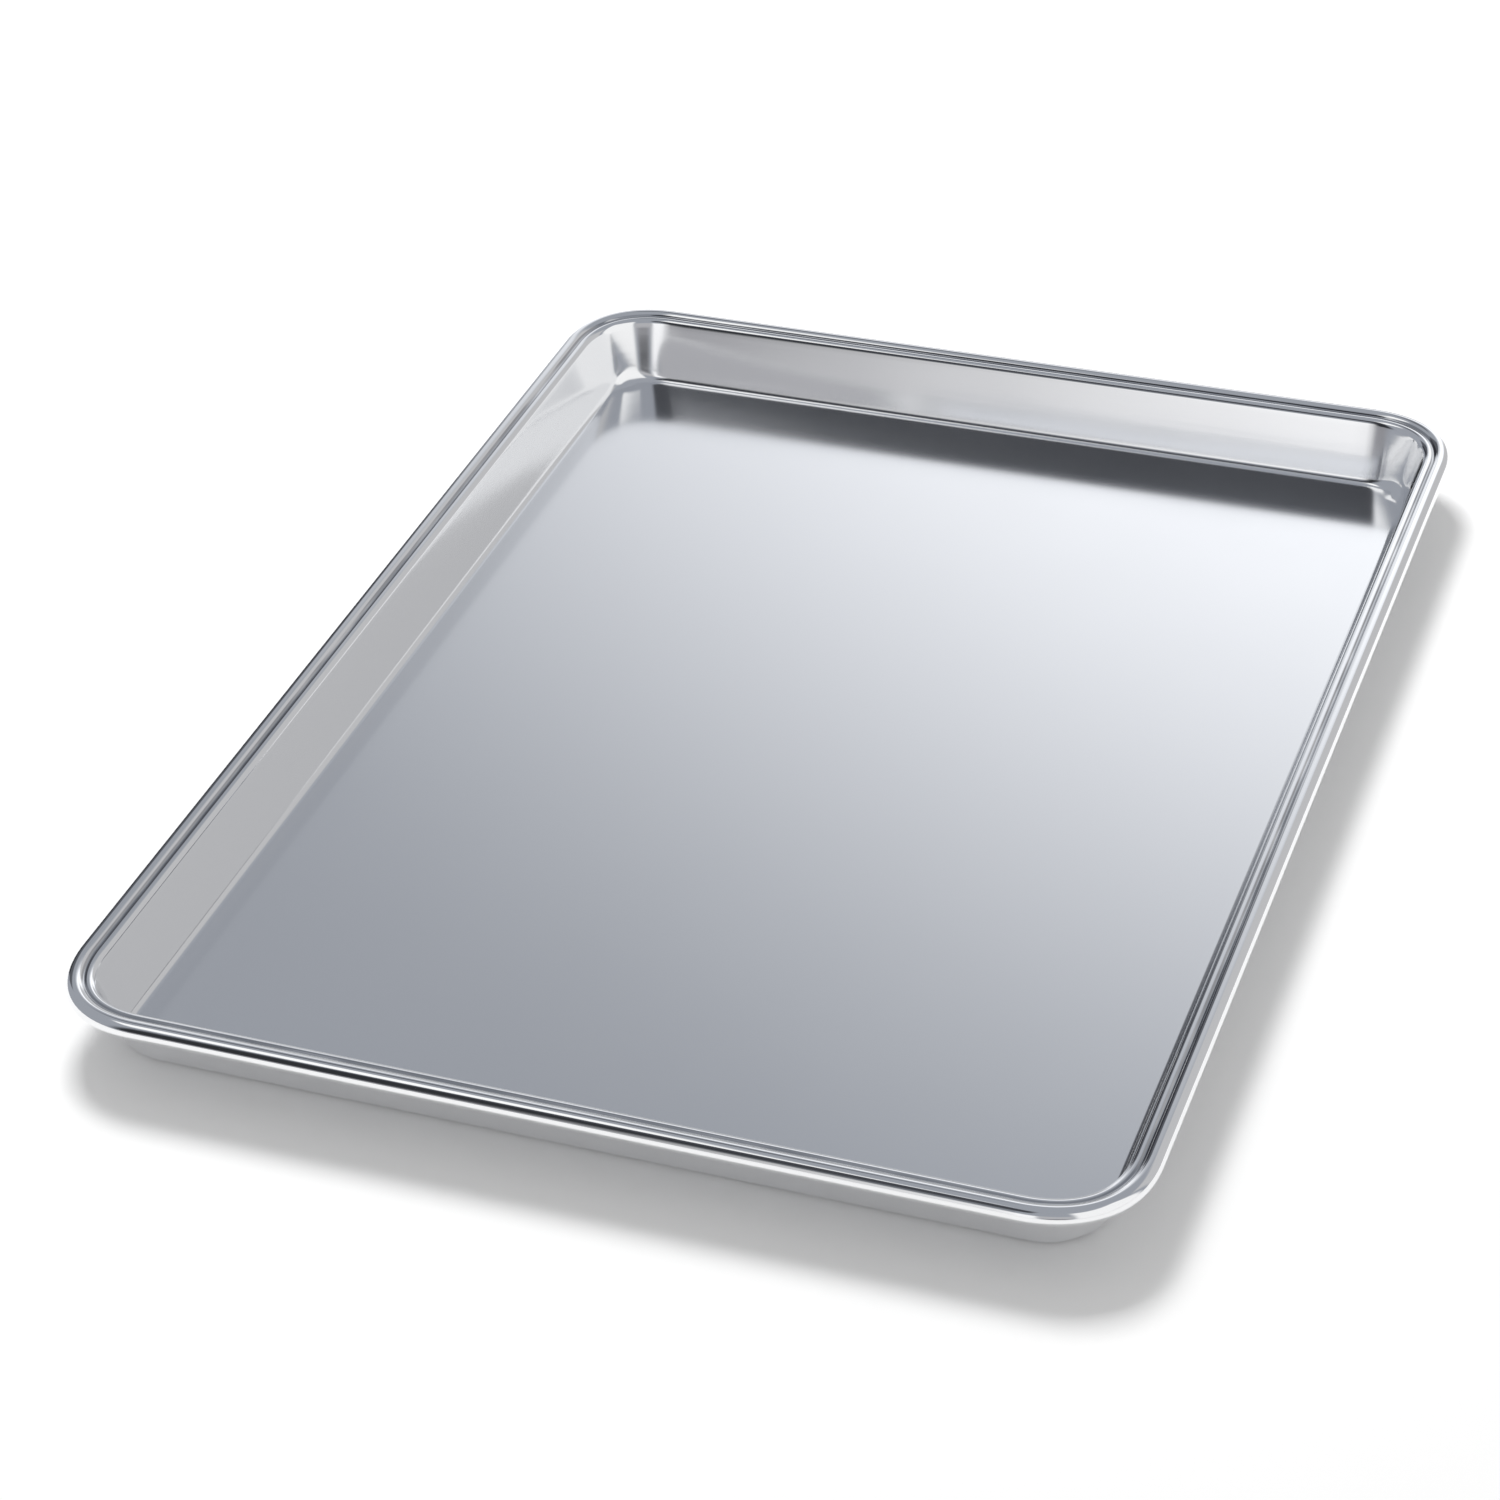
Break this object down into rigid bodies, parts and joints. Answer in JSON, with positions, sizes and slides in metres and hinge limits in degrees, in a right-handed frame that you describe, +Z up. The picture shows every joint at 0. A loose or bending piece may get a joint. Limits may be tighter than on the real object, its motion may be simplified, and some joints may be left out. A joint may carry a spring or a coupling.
{
  "type": "jelly roll pan",
  "caption": "Shallow rectangular baking pan drawn from aluminium sheet, with leaning walls, rounded corners and an edge curled round a stiffening rod.",
  "frame": {"origin": "middle of the footprint, on the surface that the pan stands on", "axes": "+Z up out of the open top, +Y along the length, +X across the width"},
  "size_m": [0.322, 0.442, 0.0235],
  "materials": {
    "pan_sheet": "bright drawn, bare metal, with fine streaks along the walls",
    "rod_steel": "plain drawn rod"
  },
  "bodies": {
    "root": {"pan_shell": "pan_sheet", "rim_rod": "rod_steel"}
  },
  "joints": []
}
